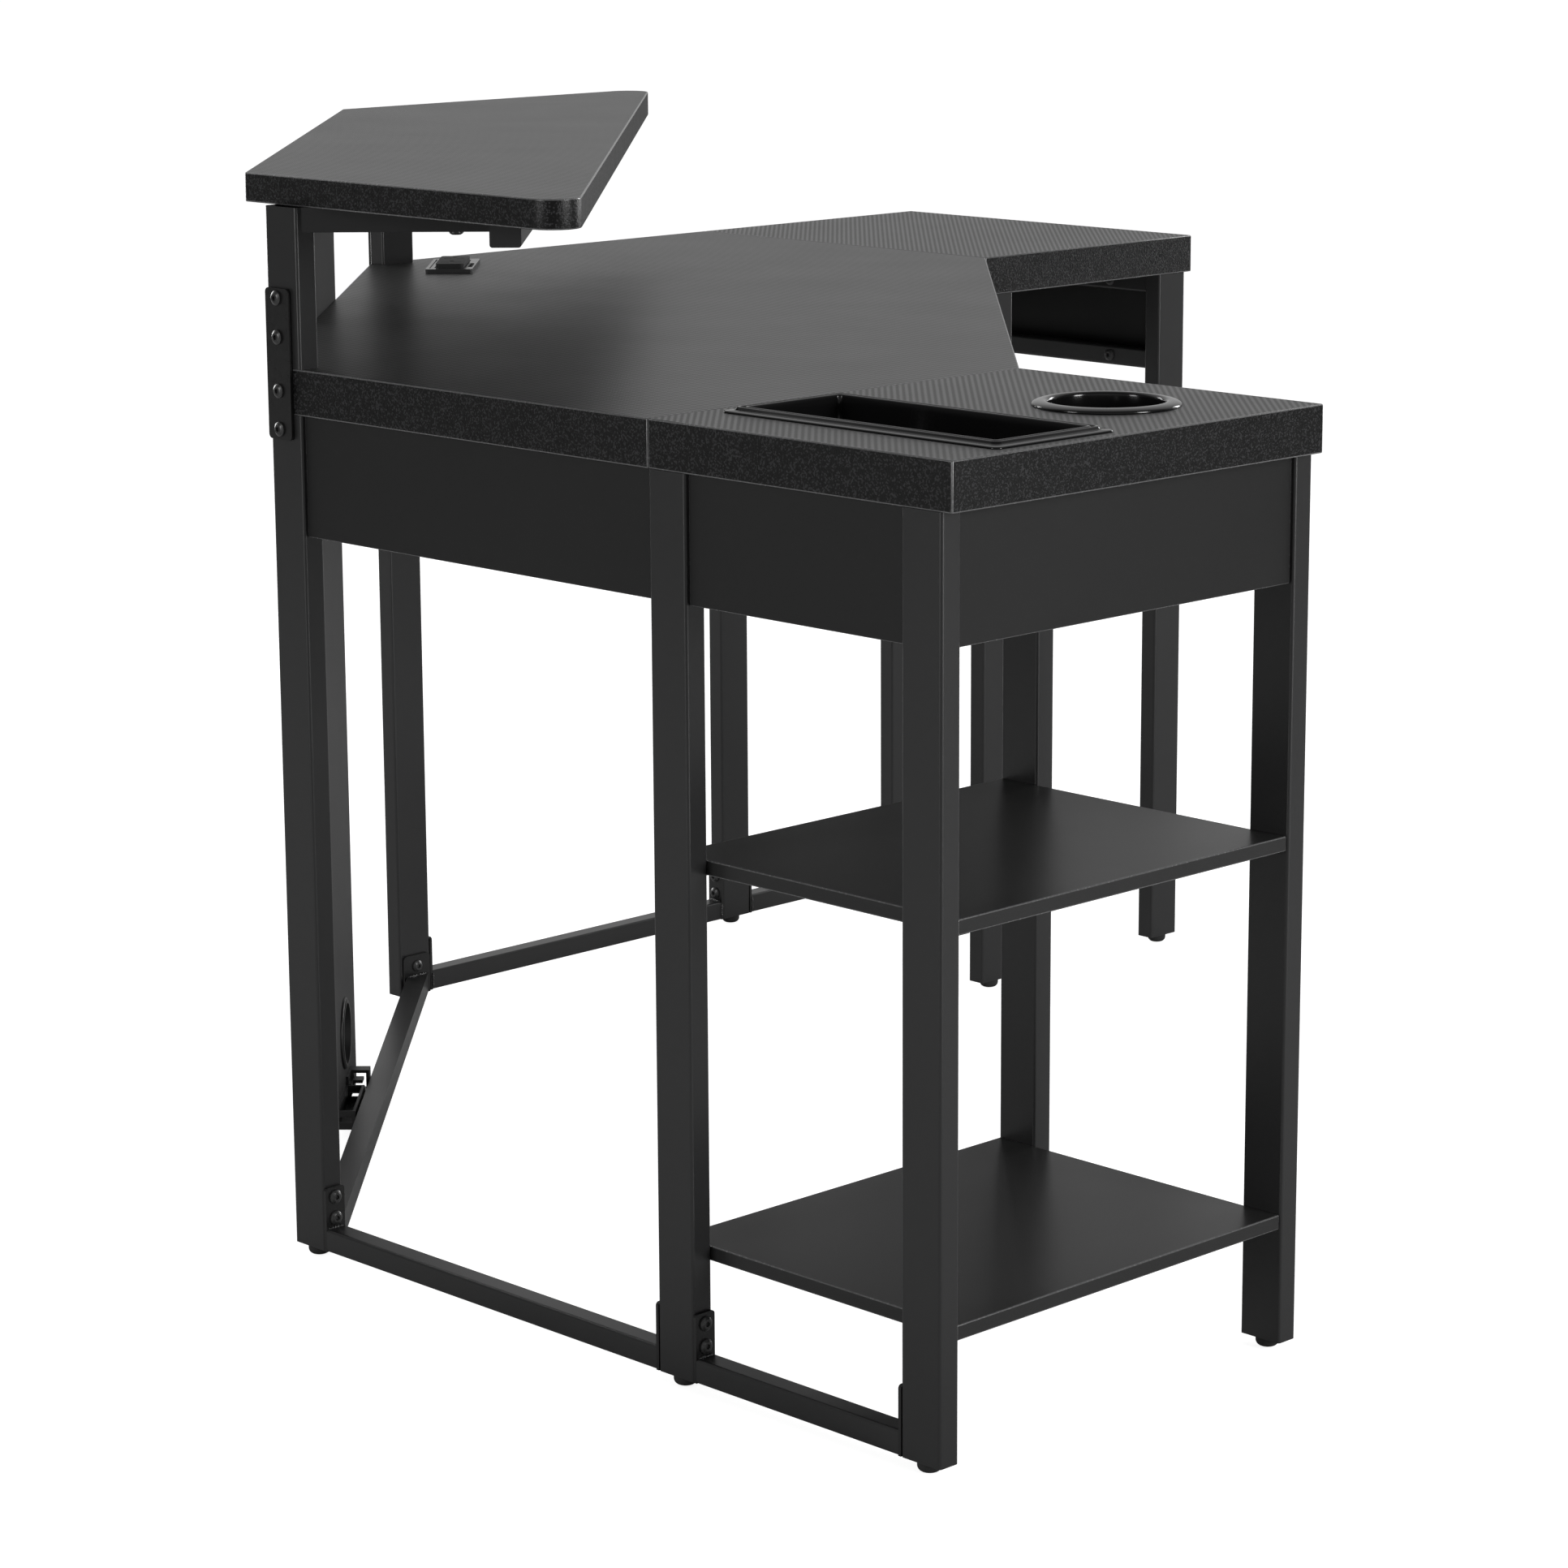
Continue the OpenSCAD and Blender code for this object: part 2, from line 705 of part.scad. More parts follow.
module outlet_housing() {
    wall = 2;
    color("#161618") placed() at_outlet() translate([0, 0, -housing_depth]) difference() {
        linear_extrude(housing_depth) centred_rect([housing_len, housing_w], 3);
        translate([0, 0, wall]) linear_extrude(housing_depth)
            centred_rect([housing_len - 2 * wall, housing_w - 2 * wall], 1.5);
        translate([housing_len / 2 - 14, 0, -1]) cylinder(r = 4, h = wall + 2);
    }
}

// ---- drop-in tray and cup holder ---------------------------------------------

function tray_opening() = [tray_len - 2 * tray_rim, tray_width - 2 * tray_rim];

module pen_tray() {
    opening = tray_opening();
    tub = opening + [2, 2] * tray_wall;
    color("#0e0e10") placed() translate([tray_x, tray_y + tray_width / 2, desk_h]) difference() {
        union() {
            linear_extrude(tray_flange_t) centred_rect([tray_len, tray_width], 5);
            linear_extrude(tray_bead_h) centred_rect(opening + [2, 2] * tray_bead, 5);
            translate([0, 0, -tray_depth + tray_bead_h]) linear_extrude(tray_depth) centred_rect(tub, 5);
        }
        translate([0, 0, -tray_depth + tray_bead_h + tray_wall]) linear_extrude(tray_depth + 1)
            centred_rect(opening, 4);
        translate([0, 0, tray_bead_h - 1]) linear_extrude(2) difference() {
            centred_rect(opening + [2, 2] * (tray_bead - 2.5), 5);
            centred_rect(opening + [2, 2] * 3, 4.5);
        }
    }
}

module cup_holder() {
    crest = 4;
    shoulder = cup_r + crest;
    color("#0e0e10") placed() translate([cup_centre[0], cup_centre[1], desk_h]) rotate_extrude($fn = 96) {
        translate([0, crest - cup_depth]) square([cup_r + cup_wall, cup_wall]);
        translate([cup_r, crest - cup_depth]) square([cup_wall, cup_depth - crest + 1]);
        translate([cup_r, 0]) square([cup_flange_r - cup_r, 1.2]);
        translate([shoulder, 0]) intersection() {
            circle(crest);
            translate([-crest, 0]) square([crest, crest]);
        }
        translate([shoulder, 0]) polygon(concat(
            [[0, 0]], [for (a = [90:-10:0]) [(cup_flange_r - shoulder) * cos(a), 1.2 + (crest - 1.2) * sin(a)]],
            [[cup_flange_r - shoulder, 0]]));
    }
}

corner_board();
near_wing_board();
far_wing_board();
monitor_shelf();
near_corner_leg();
near_seam_leg();
near_end_leg();
near_end_inner_leg();
near_seam_inner_leg();
far_corner_leg();
far_seam_leg();
far_end_leg();
far_end_inner_leg();
far_seam_inner_leg();
near_shelf_post();
far_shelf_post();
splice_plates();
near_shelf_arm();
far_shelf_arm();
shelf_front_bar();
near_corner_apron();
near_side_apron();
near_end_apron();
far_corner_apron();
far_side_apron();
far_end_apron();
end_rails();
seam_rails();
leg_brackets();
middle_storage_shelf();
lower_storage_shelf();
near_corner_stretcher();
near_side_stretcher();
far_corner_stretcher();
far_side_stretcher();
corner_tie_stretcher();
stretcher_plates();
frame_bolts();
wood_screws();
leg_end_plugs();
cable_panel();
cable_grommet();
cord_loop();
cord_cradle();
outlet_bezel();
outlet_sockets();
outlet_usb();
outlet_housing();
pen_tray();
cup_holder();
near_foot(0);  // foot_near_corner
near_foot(1);  // foot_near_seam
near_foot(2);  // foot_near_end
near_foot(3);  // foot_near_end_inner
near_foot(4);  // foot_near_seam_inner
far_foot(0);  // foot_far_corner
far_foot(1);  // foot_far_seam
far_foot(2);  // foot_far_end
far_foot(3);  // foot_far_end_inner
far_foot(4);  // foot_far_seam_inner
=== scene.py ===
import json
import math

import bmesh
import bpy
from bpy.props import FloatProperty, FloatVectorProperty, IntProperty, PointerProperty
from mathutils import Matrix, Vector

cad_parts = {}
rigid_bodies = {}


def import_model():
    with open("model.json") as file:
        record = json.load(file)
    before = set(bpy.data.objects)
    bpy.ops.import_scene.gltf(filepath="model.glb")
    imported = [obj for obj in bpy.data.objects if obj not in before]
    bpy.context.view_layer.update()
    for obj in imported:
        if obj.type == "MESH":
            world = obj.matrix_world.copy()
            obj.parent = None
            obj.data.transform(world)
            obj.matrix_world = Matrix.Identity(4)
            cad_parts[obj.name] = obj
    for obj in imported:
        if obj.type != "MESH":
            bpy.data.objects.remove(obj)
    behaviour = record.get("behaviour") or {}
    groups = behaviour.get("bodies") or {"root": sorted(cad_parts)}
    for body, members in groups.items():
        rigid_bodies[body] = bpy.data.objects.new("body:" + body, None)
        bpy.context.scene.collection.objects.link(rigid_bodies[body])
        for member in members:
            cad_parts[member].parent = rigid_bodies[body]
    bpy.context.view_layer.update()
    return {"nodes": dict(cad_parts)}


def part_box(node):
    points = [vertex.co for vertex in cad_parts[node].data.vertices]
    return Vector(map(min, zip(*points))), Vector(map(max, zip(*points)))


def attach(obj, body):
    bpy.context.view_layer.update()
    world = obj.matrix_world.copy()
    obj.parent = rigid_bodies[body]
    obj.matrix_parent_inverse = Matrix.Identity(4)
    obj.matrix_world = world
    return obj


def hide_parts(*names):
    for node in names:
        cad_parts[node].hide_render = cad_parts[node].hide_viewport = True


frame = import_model()

bl_info = {
    "name": "Corner Desk Maker",
    "version": (1, 0, 0),
    "blender": (4, 5, 0),
    "location": "3D View > Sidebar > Corner Desk",
    "description": "Builds the boards, fittings and finishes of an L-shaped corner desk",
    "category": "Add Mesh",
}

MM = 0.001
TUBES = (
    "near_corner_leg", "near_seam_leg", "near_end_leg", "near_end_inner_leg",
    "near_seam_inner_leg", "far_corner_leg", "far_seam_leg", "far_end_leg",
    "far_end_inner_leg", "far_seam_inner_leg", "near_shelf_post", "far_shelf_post",
    "near_shelf_arm", "far_shelf_arm", "shelf_front_bar", "end_rails", "seam_rails",
    "near_corner_stretcher", "near_side_stretcher", "far_corner_stretcher",
    "far_side_stretcher", "corner_tie_stretcher", "leg_brackets",
)
APRONS = (
    "near_corner_apron", "near_side_apron", "near_end_apron",
    "far_corner_apron", "far_side_apron", "far_end_apron",
)
FEET = tuple(name for name in frame["nodes"] if name.startswith("foot_"))
# Each stretcher with the floor axis that it runs along
STRETCHERS = (
    ("near_corner_stretcher", 0), ("near_side_stretcher", 0),
    ("far_corner_stretcher", 1), ("far_side_stretcher", 1),
)

# How far each moulding's lip laps over the board round its cut-out
TRAY_LAP = 11 * MM
CUP_LAP = 9.5 * MM
TRAY_CUT_CORNER = 6 * MM
CUP_CUT_STEPS = 24
HOUSING_GAP = 0.5 * MM
# How far a cutter stands out of the board that it cuts
CUT_REACH = 10 * MM

APRON_ARRIS = 0.6 * MM
# Edges that turn by more than this are rounded
SHARP_TURN = math.radians(28)
# Side faces of less than this many square metres belong to a rounded corner
CORNER_FACET = 0.0004
BEAD_INSET = 2.2 * MM

FLOOR_HALF = 60
FLOOR_DROP = 0.5 * MM
FLOOR_BOUNCE = 0.6
FLOOR_GLOW = 0.86
# Name, place and share of the softbox power of each light
SOFTBOXES = (
    ("left_softbox", (-0.35, -4.2, 1.5), 0.7),
    ("right_softbox", (4.2, 0.3, 1.5), 1.6),
    ("back_left_softbox", (-4.2, -0.3, 1.5), 1.0),
    ("back_right_softbox", (0.3, 4.2, 1.5), 1.0),
)
SOFTBOX_WIDTH = 1.0
SOFTBOX_HEIGHT = 2.4
SOFTBOX_AIM = (0.0, 0.0, 0.5)


# ---- what a user would change -------------------------------------------------


class FilmSettings(bpy.types.PropertyGroup):
    """The woven-look film on the desk boards."""
    pitch: FloatProperty(
        name="Tow pitch", description="Width of one tow in the printed weave",
        default=1.7 * MM, min=0.5 * MM, max=5 * MM, unit="LENGTH")
    colour: FloatVectorProperty(
        name="Film colour", description="Colour of the film's raised tows",
        subtype="COLOR", size=3, min=0, max=1, default=(0.016, 0.0161, 0.0164))
    roughness: FloatProperty(
        name="Film roughness", description="How dull the film is",
        subtype="FACTOR", min=0, max=1, default=0.34)


class BoardSettings(bpy.types.PropertyGroup):
    """The edges of the boards."""
    arris: FloatProperty(
        name="Arris", description="Rounding along the rim of each board",
        default=1.2 * MM, min=0.2 * MM, max=4 * MM, unit="LENGTH")
    shelf_arris: FloatProperty(
        name="Shelf arris", description="Rounding along the rim of each storage shelf",
        default=1.0 * MM, min=0.2 * MM, max=3 * MM, unit="LENGTH")
    edge_colour: FloatVectorProperty(
        name="Edge colour", description="Colour of the pebbled edge band",
        subtype="COLOR", size=3, min=0, max=1, default=(0.0046, 0.0046, 0.0048))
    grain: FloatProperty(
        name="Pebble size", description="Size of one pebble in the edge band",
        default=2.2 * MM, min=0.2 * MM, max=4 * MM, unit="LENGTH")


class FrameSettings(bpy.types.PropertyGroup):
    """The powder coated tubes and their fittings."""
    coat_colour: FloatVectorProperty(
        name="Coat colour", description="Colour of the powder coat",
        subtype="COLOR", size=3, min=0, max=1, default=(0.0145, 0.0145, 0.0148))
    coat_roughness: FloatProperty(
        name="Coat roughness", description="How dull the powder coat is",
        subtype="FACTOR", min=0, max=1, default=0.33)
    bead_radius: FloatProperty(
        name="Weld bead", description="Radius of the weld beads",
        default=1.8 * MM, min=0.5 * MM, max=4 * MM, unit="LENGTH")
    bead_lumps: IntProperty(
        name="Weld ripples", description="Ripples along one weld bead",
        default=7, min=2, max=20)


class InsertSettings(bpy.types.PropertyGroup):
    """The glossy pen tray and cup holder."""
    gloss_colour: FloatVectorProperty(
        name="Plastic colour", description="Colour of the glossy plastic",
        subtype="COLOR", size=3, min=0, max=1, default=(0.006, 0.006, 0.0062))
    gloss_roughness: FloatProperty(
        name="Plastic roughness", description="How dull the glossy plastic is",
        subtype="FACTOR", min=0, max=1, default=0.13)
    turns: IntProperty(
        name="Steps round the cup", description="Faces round the cup holder",
        default=112, min=24, max=256)


class StudioSettings(bpy.types.PropertyGroup):
    """The stage, the lights and the camera."""
    backdrop: FloatProperty(
        name="Backdrop strength",
        description="Brightness of the wide white screen behind the desk",
        default=0.6, min=0, max=5)
    room: FloatProperty(
        name="Room strength", description="Brightness of the dim room in front of the desk",
        default=0.085, min=0, max=5)
    box_power: FloatProperty(
        name="Softbox power", description="Power of each soft light, in watts",
        default=70.0, min=0, max=2000)
    lens: FloatProperty(
        name="Lens", description="Focal length of the camera",
        default=103.24, min=20, max=300, unit="CAMERA")
    heading: FloatProperty(
        name="Heading", description="Where the camera looks, turned from +Y towards -X",
        default=0.7989, unit="ROTATION", subtype="ANGLE")
    tilt: FloatProperty(
        name="Tilt", description="How far the camera looks down",
        default=0.218, unit="ROTATION", subtype="ANGLE")
    roll: FloatProperty(
        name="Roll", description="How far the camera leans to its side",
        default=-0.0056, unit="ROTATION", subtype="ANGLE")
    seat: FloatVectorProperty(
        name="Camera position", description="Where the camera stands",
        subtype="XYZ", size=3, unit="LENGTH", default=(2.8288, -2.9316, 1.2203))


SETTINGS = {
    "desk_film": FilmSettings,
    "desk_board": BoardSettings,
    "desk_frame": FrameSettings,
    "desk_insert": InsertSettings,
    "desk_studio": StudioSettings,
}


# ---- shader expressions ---------------------------------------------------------


class Wire:
    """A node's output that takes part in Python expressions."""

    def __init__(self, tree, socket):
        self.tree, self.socket = tree, socket

    def node(self, kind, settings=None, sockets=None, out=0):
        """Adds one node and returns the Wire of its output."""
        made = self.tree.nodes.new(kind)
        for key, value in (settings or {}).items():
            if key == "stops":
                ramp = made.color_ramp.elements
                while len(ramp) < len(value):
                    ramp.new(0.5)
                for element, (place, shade) in zip(ramp, value):
                    element.position, element.color = place, (shade, shade, shade, 1)
            else:
                setattr(made, key, value)
        for key, value in (sockets or {}).items():
            plug = made.inputs[key]
            if isinstance(value, Wire):
                self.tree.links.new(value.socket, plug)
            else:
                plug.default_value = value
        return Wire(self.tree, made.outputs[out])

    def math(self, operation, *values):
        """One Math node over values that are Wires or numbers."""
        return self.node("ShaderNodeMath", {"operation": operation}, dict(enumerate(values)))

    def __add__(self, other):
        return self.math("ADD", self, other)

    __radd__ = __add__

    def __mul__(self, other):
        return self.math("MULTIPLY", self, other)

    __rmul__ = __mul__

    def __sub__(self, other):
        return self.math("SUBTRACT", self, other)

    def __rsub__(self, other):
        return self.math("SUBTRACT", other, self)

    def __truediv__(self, other):
        return self.math("DIVIDE", self, other)

    def __lt__(self, other):
        return self.math("LESS_THAN", self, other)

    def __gt__(self, other):
        return self.math("GREATER_THAN", self, other)

    def part(self):
        """The share above the whole number below."""
        return self.math("FRACT", self)

    def whole(self):
        """The whole number below."""
        return self.math("FLOOR", self)

    def clear(self):
        """Held between 0 and 1."""
        return self.node("ShaderNodeClamp", sockets={"Value": self})

    def mix(self, low, high):
        """Two colours mixed by this value."""
        ends = [shade if isinstance(shade, Wire) else (*shade, 1) for shade in (low, high)]
        return self.node(
            "ShaderNodeMix", {"data_type": "RGBA"}, {0: self, 6: ends[0], 7: ends[1]}, 2)

    def axes(self):
        """X, Y and Z of a vector."""
        first = self.node("ShaderNodeSeparateXYZ", sockets={0: self})
        return [Wire(self.tree, socket) for socket in first.socket.node.outputs]

    def scaled(self, factors):
        """This vector times a vector of numbers."""
        return self.node("ShaderNodeVectorMath", {"operation": "MULTIPLY"}, {0: self, 1: factors})

    def noise(self, size, detail=2.0, roughness=0.5):
        """Noise whose lumps are about size metres across."""
        return self.node(
            "ShaderNodeTexNoise", {"noise_dimensions": "3D"},
            {"Vector": self, "Scale": 1 / size, "Detail": detail, "Roughness": roughness})

    def cells(self, size, feature="F1"):
        """Distance to the middle of the nearest cell."""
        return self.node(
            "ShaderNodeTexVoronoi", {"feature": feature}, {"Vector": self, "Scale": 1 / size})

    def lottery(self, size):
        """A number from 0 to 1, drawn for each cell about size metres across."""
        drawn = self.node("ShaderNodeTexVoronoi", {}, {"Vector": self, "Scale": 1 / size}, 1)
        return drawn.axes()[0]

    def ramp(self, *stops):
        """Grey that runs through stops of place and shade."""
        return self.node("ShaderNodeValToRGB", {"stops": stops}, {0: self})


def new_material(name):
    """An empty Principled material: its start Wire and its shader node."""
    material = bpy.data.materials.new(name)
    material.use_nodes = True
    tree = material.node_tree
    shader = tree.nodes["Principled BSDF"]
    place = tree.nodes.new("ShaderNodeTexCoord")
    return material, Wire(tree, place.outputs["Object"]), shader


def finish_material(shader, fixed, varying):
    """Sets the constant sockets and links the varying ones."""
    for key, value in fixed.items():
        shader.inputs[key].default_value = value
    for key, wire in varying.items():
        wire.tree.links.new(wire.socket, shader.inputs[key])


def bump(height, distance, strength):
    """A Bump node over a height between 0 and 1."""
    return height.node(
        "ShaderNodeBump",
        sockets={"Height": height, "Distance": distance, "Strength": strength})


def twill_film(name, turn):
    """Satin film printed and pressed with a two by two twill, turned by an angle, with painted
    shading across each tow.
    """
    film = bpy.context.scene.desk_film
    material, place, shader = new_material(name)
    x, y, _ = place.axes()
    pitch = film.pitch * (1 + 0.5 * math.sin(turn))
    across = (x * math.cos(turn) + y * math.sin(turn)) / pitch
    along = (y * math.cos(turn) - x * math.sin(turn)) / pitch
    over = ((across.whole() + along.whole()) * 0.25).part() < 0.4
    warp = across.part() * (1 - across.part()) * 4
    weft = along.part() * (1 - along.part()) * 4
    height = over * warp + (1 - over) * weft * 0.8
    cloud = place.noise(0.09, 3.0)
    speck = place.noise(0.25 * MM, 1.0)
    # The printed warp and weft tones and the cloud are the film's own colour; the height adds
    # painted shading, lighter on each tow's crest and darker at its sides
    shade = (over * 0.35 + height * 0.45 + cloud * 0.2).clear()
    colour = film.colour
    finish_material(
        shader,
        {"Specular IOR Level": 0.42},
        {
            "Base Color": shade.mix([c * 0.25 for c in colour], [c * 1.5 for c in colour]),
            "Roughness": (film.roughness + (1 - over) * 0.12 + (cloud - 0.5) * 0.05
                          + (speck - 0.5) * 0.06).clear(),
            "Normal": bump(height + speck * 0.15, 0.05 * MM, 0.65),
        })
    return material


def edge_band(name):
    """Black edge band pressed with fine pebbles, with a painted glint on sparse cells."""
    board = bpy.context.scene.desk_board
    material, place, shader = new_material(name)
    pebble = place.noise(board.grain, 2.0, 0.7)
    fine = place.cells(board.grain * 0.45)
    height = pebble * 0.8 + (1 - fine) * 0.2
    patch = place.noise(0.03, 2.0)
    # Sparse cells get a much lighter base colour: a painted glint, not a reflection of the lights
    painted_glint = place.lottery(board.grain * 0.55) > 0.74
    colour = board.edge_colour
    finish_material(
        shader,
        {"Specular IOR Level": 0.24},
        {
            "Base Color": (painted_glint * (0.4 + pebble) + patch * 0.03).clear().mix(
                [c * 0.3 for c in colour], [c * 6.5 for c in colour]),
            "Roughness": (0.24 + patch * 0.08 + (1 - pebble) * 0.2).clear(),
            "Normal": bump(height, 0.5 * MM, 0.9),
        })
    return material


def painted_rim_highlight(name):
    """The line where the film and the edge band are trimmed flush, given a lighter colour that is
    a painted highlight along each arris.
    """
    material, place, shader = new_material(name)
    # Noise patches vary the brightness of the painted highlight and the roughness along the rim
    highlight_patches = place.noise(3 * MM, 3.0, 0.7)
    fine = place.noise(0.6 * MM, 1.0)
    finish_material(
        shader,
        {"Specular IOR Level": 0.8},
        {
            "Base Color": highlight_patches.mix((0.04, 0.04, 0.04), (0.16, 0.16, 0.163)),
            "Roughness": (0.2 + highlight_patches * 0.12).clear(),
            "Normal": bump(fine, 0.03 * MM, 0.5),
        })
    return material


def melamine(name, roughness, lightness):
    """Black melamine with a fine leather-like grain."""
    material, place, shader = new_material(name)
    grain = place.noise(0.7 * MM, 3.0, 0.6)
    pores = place.cells(1.3 * MM, "SMOOTH_F1")
    cloud = place.noise(0.12, 2.0)
    height = grain * 0.6 + pores * 0.4
    finish_material(
        shader,
        {"Specular IOR Level": 0.3},
        {
            "Base Color": (height * 0.7 + cloud * 0.3).clear().mix(
                [lightness * 0.6] * 3, [lightness * 1.4] * 3),
            "Roughness": (roughness + (cloud - 0.5) * 0.06 + (grain - 0.5) * 0.08).clear(),
            "Normal": bump(height, 0.05 * MM, 0.5),
        })
    return material


def powder_coat(name):
    """Satin powder coat with a faint orange peel."""
    tube = bpy.context.scene.desk_frame
    material, place, shader = new_material(name)
    peel = place.noise(0.9 * MM, 2.0)
    dust = place.cells(3.5 * MM)
    cloud = place.noise(0.15, 2.0)
    colour = tube.coat_colour
    finish_material(
        shader,
        {"Specular IOR Level": 0.5},
        {
            "Base Color": (cloud * 0.6 + peel * 0.4).clear().mix(
                [c * 0.8 for c in colour], [c * 1.2 for c in colour]),
            "Roughness": (tube.coat_roughness + (cloud - 0.5) * 0.08
                          + (peel - 0.5) * 0.06).clear(),
            "Normal": bump(peel + (dust < 0.08) * 0.3, 0.03 * MM, 0.5),
        })
    return material


def plain_plastic(name, lightness, roughness, grain):
    """Moulded plastic with a spark-eroded grain."""
    material, place, shader = new_material(name)
    spark = place.noise(grain, 2.0)
    cloud = place.noise(0.04, 2.0)
    finish_material(
        shader,
        {"Specular IOR Level": 0.4},
        {
            "Base Color": cloud.mix([lightness * 0.8] * 3, [lightness * 1.2] * 3),
            "Roughness": (roughness + (spark - 0.5) * 0.12).clear(),
            "Normal": bump(spark, 0.03 * MM, 0.4),
        })
    return material


def gloss_plastic(name):
    """Glossy plastic with faint flow waves and hairline scuffs."""
    insert = bpy.context.scene.desk_insert
    material, place, shader = new_material(name)
    wave = place.noise(0.05, 1.0)
    scuff = place.scaled((1, 14, 14)).noise(4 * MM, 3.0, 0.7)
    colour = insert.gloss_colour
    marks = scuff.ramp((0.6, 0.0), (0.75, 1.0))
    finish_material(
        shader,
        {"Specular IOR Level": 0.5},
        {
            "Base Color": wave.mix([c * 0.9 for c in colour], [c * 1.1 for c in colour]),
            "Roughness": (insert.gloss_roughness + marks * 0.08 + (wave - 0.5) * 0.04).clear(),
            "Normal": bump(wave, 0.15 * MM, 0.3),
        })
    return material


def steel(name, lightness, roughness, metal, size):
    """Coated or plated steel with a rubbed, mottled surface."""
    material, place, shader = new_material(name)
    rub = place.noise(size, 3.0, 0.65)
    fine = place.noise(0.4 * MM, 1.0)
    finish_material(
        shader,
        {"Metallic": metal, "Specular IOR Level": 0.45},
        {
            "Base Color": rub.mix([lightness * 0.6] * 3, [lightness * 1.4] * 3),
            "Roughness": (roughness + (rub - 0.5) * 0.16).clear(),
            "Normal": bump(fine, 0.02 * MM, 0.5),
        })
    return material


def chipboard(name):
    """Raw chipboard that shows in the cut-outs."""
    material, place, shader = new_material(name)
    chips = place.cells(2.2 * MM)
    tone = place.noise(1.2 * MM, 2.0)
    finish_material(
        shader,
        {},
        {
            "Base Color": (chips * 0.6 + tone * 0.5).clear().mix(
                (0.42, 0.29, 0.17), (0.17, 0.1, 0.05)),
            "Roughness": (0.75 + tone * 0.2).clear(),
            "Normal": bump(chips, 0.3 * MM, 0.7),
        })
    return material


def finish_named(name, make, *values):
    """The finish of that name, made the first time that it is asked for."""
    return bpy.data.materials.get(name) or make(name, *values)


def straight_twill():
    return finish_named("twill_film_straight", twill_film, 0.0)


def turned_twill():
    return finish_named("twill_film_turned", twill_film, math.radians(45))


def edges():
    return finish_named("pebbled_edge_band", edge_band)


def coat():
    return finish_named("satin_powder_coat", powder_coat)


# The rim finish: a lighter colour that is a painted highlight along each arris
def rim():
    return finish_named("trimmed_rim", painted_rim_highlight)


def core():
    return finish_named("raw_chipboard", chipboard)


def shelf_face():
    return finish_named("shelf_melamine", melamine, 0.33, 0.02)


def panel_face():
    return finish_named("panel_melamine", melamine, 0.5, 0.0085)


def moulding():
    return finish_named("grained_plastic", plain_plastic, 0.01, 0.4, 0.5 * MM)


def gloss():
    return finish_named("glossy_moulded_plastic", gloss_plastic)


def paint_nodes(names, material):
    """Gives CAD nodes a finish."""
    for name in names:
        node = frame["nodes"][name]
        node.data.materials.clear()
        node.data.materials.append(material)


# ---- mesh tools -------------------------------------------------------------------


def add_piece(name, mesh, body, stands_for=()):
    """Adds a mesh as a piece that rides on a body and stands for CAD nodes."""
    piece = bpy.data.objects.new(name, mesh)
    bpy.context.scene.collection.objects.link(piece)
    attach(piece, body)
    if stands_for:
        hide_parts(*stands_for)
    return piece


def mesh_from(bm, name, materials):
    bmesh.ops.recalc_face_normals(bm, faces=bm.faces)
    mesh = bpy.data.meshes.new(name)
    bm.to_mesh(mesh)
    bm.free()
    for material in materials:
        mesh.materials.append(material)
    return mesh


def plan_outline(node):
    """The convex outline of a CAD node seen from above, anticlockwise."""
    vertices = frame["nodes"][node].data.vertices
    points = sorted({(round(v.co.x, 6), round(v.co.y, 6)) for v in vertices})

    def half(run):
        chain = []
        for p in run:
            while len(chain) > 1:
                (ax, ay), (bx, by) = chain[-2], chain[-1]
                if (bx - ax) * (p[1] - ay) - (by - ay) * (p[0] - ax) > 1e-10:
                    break
                chain.pop()
            chain.append(p)
        return chain[:-1]

    return half(points) + half(points[::-1])


def rim_and_corner_edges(bm):
    """Edges round the top and bottom, and upright edges that turn sharply."""
    return [edge for edge in bm.edges
            if len(edge.link_faces) == 2 and edge.calc_face_angle() > SHARP_TURN]


def prism(outline, low, high):
    """A closed prism that stands on an outline."""
    bm = bmesh.new()
    base = bm.faces.new([bm.verts.new((x, y, low)) for x, y in outline])
    raised = bmesh.ops.extrude_face_region(bm, geom=[base])["geom"]
    bmesh.ops.translate(
        bm, vec=(0, 0, high - low),
        verts=[item for item in raised if isinstance(item, bmesh.types.BMVert)])
    return bm


def board_mesh(name, outline, low, high, arris, face, edge):
    """A board with rounded rims: its two faces take one finish and its edges another."""
    bm = prism(outline, low, high)
    bm.normal_update()
    bmesh.ops.recalc_face_normals(bm, faces=bm.faces)
    for f in bm.faces:
        f.material_index = 0 if abs(f.normal.z) > 0.9 else 1
    # The rounded rims take the third finish, whose lighter colour is a painted highlight along
    # each arris
    rounded = bmesh.ops.bevel(
        bm, geom=rim_and_corner_edges(bm), offset=arris, segments=3, profile=0.5,
        affect="EDGES", clamp_overlap=True, material=2)
    for f in rounded["faces"]:
        f.smooth = True
    for f in bm.faces:
        if 1 - abs(f.normal.z) > 0.05 and f.calc_area() < CORNER_FACET:
            f.smooth = True
    return mesh_from(bm, name, [face, edge, rim()])


